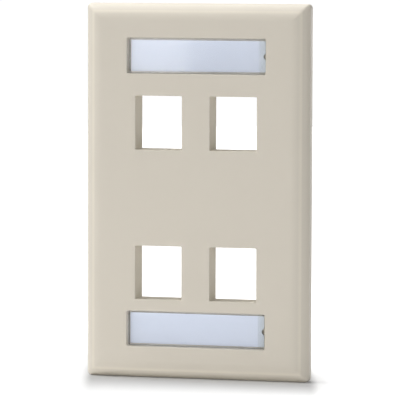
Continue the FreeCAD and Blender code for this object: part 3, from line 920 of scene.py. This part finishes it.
@dataclass
class Studio:
    """The pale floor, the lamps, the world and the camera of the photograph.

    The plate's shadow on the floor is partly cast by the lamps and partly painted: within foot,
    which follows the camera's slant, the floor's colour for the camera is painted dark and its glow
    is low, and past it the glow rises so that the shadow fades out. fade makes the painted shadow
    end sooner at the sides than in front.
    """

    frame_pixels: int = 400
    focal_pixels: float = 3401.2
    camera_place: tuple[float, float, float] = (0.26285, -1.0, 0.0753)
    yaw: float = 0.2571
    pitch: float = 0.07534
    roll: float = 0.00282
    sensor_width: float = 36.0
    clip_end: float = 100.0
    floor_size: float = 60.0
    floor_sharp: float = 30.0
    floor_drop: float = 0.02 * MM
    floor_colour: Colour = srgb(244, 244, 244)
    foot: tuple[float, float, float] = (0.0336, 0.0038, 0.0)
    fade: tuple[float, float, float] = (9.0, 1.0, 0.0)
    slant: tuple[float, float, float] = (1.0, 0.263, 0.0)
    # Painted shadow: the floor's colour for the camera near the plate, darker on the left than on
    # the right.
    shadow_tones: tuple[float, float] = (0.46, 0.60)
    near_glow: FloorGlow = FloorGlow(0.002, 0.04, 0.48)
    far_glow: FloorGlow = FloorGlow(0.035, 0.13, 0.52)
    world_level: float = 0.075
    lamps: tuple[Softbox, ...] = (
        Softbox("overhead", (-0.05, -0.02, 0.60), (0.0, 0.0, 0.0), 0.5, 0.24, 1.25),
        Softbox("over_back", (-0.05, 0.10, 0.62), (0.0, 0.0, 0.05), 0.6, 0.4, 1.22),
        Softbox("over_left", (-0.35, -0.03, 0.45), (0.0, 0.0, 0.0), 0.3, 0.24, 2.28),
        Softbox("front_left", (-0.45, -0.75, 0.06), (0.0, 0.0, 0.0), 0.5, 0.3, 0.84),
        Softbox("near_front", (-0.15, -0.42, 0.05), (0.0, 0.0, 0.0), 0.2, 0.25, 0.14),
        Softbox("beside_camera", (0.34, -1.0, 0.08), (0.0, 0.0, 0.0), 0.4, 0.4, 2.0),
        Softbox("right", (0.75, -0.55, 0.3), (0.0, 0.0, 0.0), 0.5, 0.5, 0.74),
        Softbox("behind", (-0.03, 1.4, 0.045), (0.0, 0.0, 0.0), 0.5, 0.19, 5.6),
    )

    def build(self) -> None:
        """Build the whole studio."""
        self.make_floor()
        self.make_world()
        for lamp in self.lamps:
            lamp.build()
        self.make_camera()
        bpy.context.scene.view_settings.view_transform = "Standard"

    def make_camera(self) -> None:
        """Set the camera where the photograph was taken from."""
        data = bpy.data.cameras.new("camera")
        data.sensor_width = self.sensor_width
        data.lens = self.focal_pixels / self.frame_pixels * data.sensor_width
        data.clip_end = self.clip_end
        forward = Vector((-math.sin(self.yaw) * math.cos(self.pitch),
                          math.cos(self.yaw) * math.cos(self.pitch), -math.sin(self.pitch)))
        level = Vector((math.cos(self.yaw), math.sin(self.yaw), 0.0))
        upright = level.cross(forward)
        right = level * math.cos(self.roll) + upright * math.sin(self.roll)
        over = upright * math.cos(self.roll) - level * math.sin(self.roll)
        turn = Matrix((right, over, -forward)).transposed().to_4x4()
        camera = bpy.data.objects.new("camera", data)
        camera.matrix_world = Matrix.Translation(self.camera_place) @ turn
        bpy.context.scene.collection.objects.link(camera)
        bpy.context.scene.camera = camera

    def make_floor(self) -> None:
        """Lay the pale floor just under the plate's lower edge."""
        shape = bmesh.new()
        bmesh.ops.create_grid(shape, x_segments=1, y_segments=1, size=self.floor_size / 2)
        low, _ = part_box("faceplate")
        bmesh.ops.translate(shape, vec=(0.0, 0.0, low.z - self.floor_drop), verts=shape.verts)
        mesh = mesh_from(shape, "floor", self.floor_sharp)
        new_object("floor", mesh, self.floor_material())

    def floor_material(self) -> bpy.types.Material:
        """White to the camera, with the plate's soft shadow close to it, partly cast and partly
        painted.

        Returns:
            The floor's material.
        """
        sheet = MaterialSheet("floor")
        rays = sheet.add("ShaderNodeLightPath").outputs
        shown = self.shown_rays(sheet, rays)
        place = sheet.add("ShaderNodeTexCoord").outputs["Object"]
        across = sheet.add("ShaderNodeVectorMath", {"operation": "DOT_PRODUCT"}, {
            0: place, 1: self.slant}).outputs["Value"]
        depth = sheet.add("ShaderNodeSeparateXYZ", inputs={0: place}).outputs["Y"]
        spot = sheet.add("ShaderNodeCombineXYZ", inputs={"X": across, "Y": depth})
        side = sheet.add("ShaderNodeVectorMath", {"operation": "ABSOLUTE"}, {0: spot.outputs[0]})
        out = sheet.add("ShaderNodeVectorMath", {"operation": "SUBTRACT"}, {
            0: side.outputs[0], 1: self.foot})
        wide = sheet.add("ShaderNodeVectorMath", {"operation": "MULTIPLY"}, {
            0: out.outputs[0], 1: self.fade})
        past = sheet.add("ShaderNodeVectorMath", {"operation": "MAXIMUM"}, {
            0: wide.outputs[0], 1: (0.0, 0.0, 0.0)})
        distance = sheet.add("ShaderNodeVectorMath", {"operation": "LENGTH"}, {
            0: past.outputs[0]}).outputs["Value"]
        near, far = (sheet.add("ShaderNodeMapRange", {"interpolation_type": "SMOOTHSTEP"}, {
            "Value": distance, "From Min": glow.start, "From Max": glow.full,
            "To Min": 0.0, "To Max": glow.strength}) for glow in (self.near_glow, self.far_glow))
        glow_level = sheet.add("ShaderNodeMath", {"operation": "ADD"}, {
            0: near.outputs["Result"], 1: far.outputs["Result"]})
        level = sheet.add("ShaderNodeMath", {"operation": "MULTIPLY"}, {
            0: shown, 1: glow_level.outputs[0]})
        # Painted shadow: the camera sees the floor in these dark tones, darker towards the left.
        shade = sheet.add("ShaderNodeMapRange", inputs={
            "Value": across, "From Min": -self.foot[0], "From Max": self.foot[0],
            "To Min": self.shadow_tones[0], "To Max": self.shadow_tones[1]})
        tone = sheet.mix(rays["Is Camera Ray"], self.floor_colour, shade.outputs["Result"])
        cloth = sheet.add("ShaderNodeBsdfDiffuse", inputs={"Color": tone})
        glow = sheet.add("ShaderNodeEmission", inputs={
            "Color": (1.0, 1.0, 1.0, 1.0), "Strength": level.outputs[0]})
        both = sheet.add("ShaderNodeAddShader", inputs={0: cloth.outputs[0], 1: glow.outputs[0]})
        return sheet.show(both.outputs[0])

    @staticmethod
    def shown_rays(nodes: NodeTree, rays: bpy.types.NodeOutputs) -> bpy.types.NodeSocket:
        """One for the rays that should meet a white background, nought for the rest.

        Args:
            nodes: The tree to add to.
            rays: The outputs of its Light Path node.

        Returns:
            The socket with that mask.
        """
        seen = nodes.add("ShaderNodeMath", {"operation": "ADD"}, {
            0: rays["Is Camera Ray"], 1: rays["Is Glossy Ray"]})
        shown = nodes.add("ShaderNodeMath", {"operation": "ADD", "use_clamp": True}, {
            0: seen.outputs[0], 1: rays["Is Transmission Ray"]})
        return shown.outputs[0]

    def make_world(self) -> None:
        """An even pale surrounding that the camera sees as white."""
        world = bpy.data.worlds.new("studio")
        world.use_nodes = True
        world.node_tree.nodes.clear()
        nodes = NodeTree(world.node_tree)
        shown = self.shown_rays(nodes, nodes.add("ShaderNodeLightPath").outputs)
        strength = nodes.add("ShaderNodeMapRange", inputs={
            "Value": shown, "To Min": self.world_level, "To Max": 1.0})
        back = nodes.add("ShaderNodeBackground", inputs={
            "Color": (1.0, 1.0, 1.0, 1.0), "Strength": strength.outputs["Result"]})
        nodes.add("ShaderNodeOutputWorld", inputs={"Surface": back.outputs[0]})
        bpy.context.scene.world = world


def report(title: str, pieces: list[bpy.types.Object]) -> None:
    """Log each piece of a sub-assembly with its number of faces."""
    for piece in pieces:
        LOG.info("%s: %s, %d faces", title, piece.name, len(piece.data.polygons))


def main() -> None:
    """Build the object and the studio around it."""
    logging.basicConfig(level=logging.INFO, format="%(message)s")
    plastic = IvoryPlastic().build()
    clear, paper, steel = ClearPlastic().build(), LabelPaper().build(), PlatedSteel().build()
    moulding = Moulding()
    moulding.build(plastic)
    report("moulding", moulding.pieces)
    for end in End:
        window = LabelWindow(end)
        window.build(clear, paper)
        report(f"{end.value} label window", window.pieces)
        screw = WallScrew(end)
        screw.build(steel)
        report(f"{end.value} wall screw", screw.pieces)
    Studio().build()


if __name__ == "__main__":
    main()
